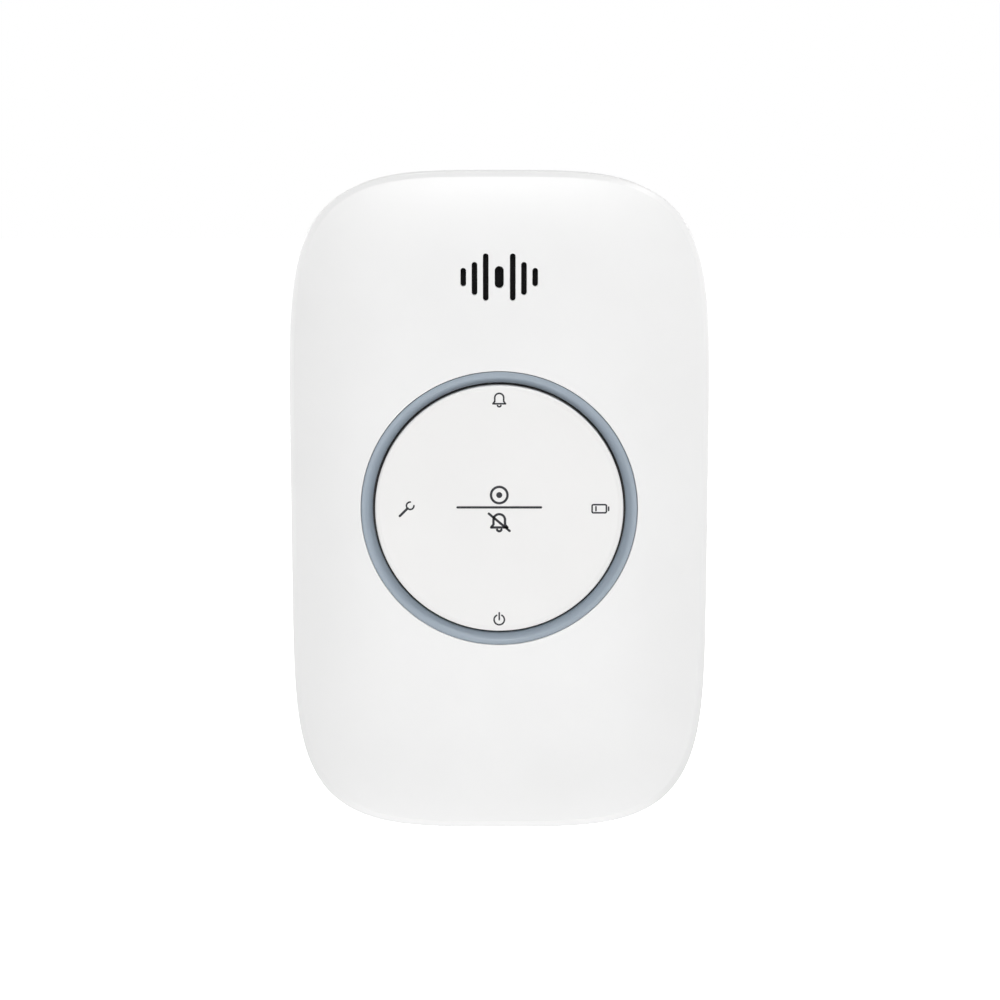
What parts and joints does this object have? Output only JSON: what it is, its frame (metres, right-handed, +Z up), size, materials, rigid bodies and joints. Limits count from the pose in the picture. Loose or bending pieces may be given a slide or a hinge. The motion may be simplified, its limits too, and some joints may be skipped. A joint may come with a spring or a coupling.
{
  "type": "carbon monoxide detector",
  "caption": "Upright wall-hung carbon monoxide alarm: rounded white case, light ring round a push-to-test button, sound slots, battery bay and wall plate.",
  "frame": {"origin": "midway between the two wall screws, on the wall plate's back face", "axes": "+Z up, +Y into the wall, so the front faces -Y, and +X to the right as seen from the front"},
  "size_m": [0.0772, 0.034, 0.1222],
  "materials": {
    "cover_plastic": "satin moulded, fine grain",
    "case_plastic": "satin moulded, fine grain",
    "plate_plastic": "satin moulded",
    "button_plastic": "satin moulded, very fine grain",
    "ring_plastic": "translucent grey-blue, smooth",
    "black_plastic": "matt black",
    "label_film": "blank, silky",
    "mesh_cloth": "woven, black",
    "foam": "closed-cell foam",
    "zinc_steel": "zinc plated",
    "spring_steel": "drawn wire",
    "tinned_metal": "tinned",
    "brass": "satin",
    "ceramic": "silvered",
    "board": "green solder mask",
    "red_lens": "milky lens",
    "amber_lens": "milky lens",
    "yellow_lens": "milky lens",
    "green_lens": "milky lens",
    "sensor_steel": "satin nickel",
    "grey_plastic": "matt grey",
    "cell_jacket": "plain printed film, no marks",
    "ferrite": "matt ferrite",
    "capacitor_can": "satin",
    "chip_ceramic": "fired"
  },
  "bodies": {
    "wall_plate": {"wall_plate": "plate_plastic"},
    "detector": {"rear_case": "case_plastic", "front_cover": "cover_plastic", "light_ring": "ring_plastic", "button_guide": "black_plastic", "button_springs": "spring_steel", "guide_screws": "zinc_steel", "case_screws": "zinc_steel", "dust_mesh": "mesh_cloth", "vent_mesh": "mesh_cloth", "sounder_housing": "black_plastic", "sounder_gasket": "foam", "piezo_disc": "brass", "piezo_ceramic": "ceramic", "sounder_pins": "tinned_metal", "main_pcb": "board", "switch_body": "black_plastic", "switch_frame": "zinc_steel", "switch_pins": "tinned_metal", "alarm_led": "red_lens", "malfunction_led": "amber_lens", "fault_led": "yellow_lens", "power_led": "green_lens", "sensor_can": "sensor_steel", "sensor_cap": "grey_plastic", "sensor_pins": "brass", "battery_left": "cell_jacket", "battery_right": "cell_jacket", "contact_link": "tinned_metal", "positive_contact": "tinned_metal", "negative_contact": "tinned_metal", "contact_springs": "spring_steel", "microcontroller": "black_plastic", "boost_coil": "ferrite", "capacitor": "capacitor_can", "chip_parts": "chip_ceramic"},
    "test_button": {"button_cap": "button_plastic"},
    "switch_plunger": {"switch_plunger": "grey_plastic"},
    "battery_door": {"battery_door": "case_plastic", "door_label": "label_film"}
  },
  "joints": [
    {"name": "lift_off", "type": "slide", "parent": "wall_plate", "child": "detector", "axis": [0, 0, 1], "range_m": [0, 0.005]},
    {"name": "button_press", "type": "slide", "parent": "detector", "child": "test_button", "axis": [0, 1, 0], "range_m": [0, 0.0008], "stiffness_N_per_m": 1500, "springref_m": -0.0006, "deforming": ["button_springs"]},
    {"name": "plunger_press", "type": "slide", "parent": "detector", "child": "switch_plunger", "axis": [0, 1, 0], "range_m": [0, 0.0008]},
    {"name": "door_hinge", "type": "hinge", "parent": "detector", "child": "battery_door", "pos_m": [0, -0.00405, 0.0302], "axis": [1, 0, 0], "range_deg": [0, 80]}
  ],
  "couplings": [
    {"joint": "plunger_press", "follows": "button_press", "ratio": 1}
  ]
}
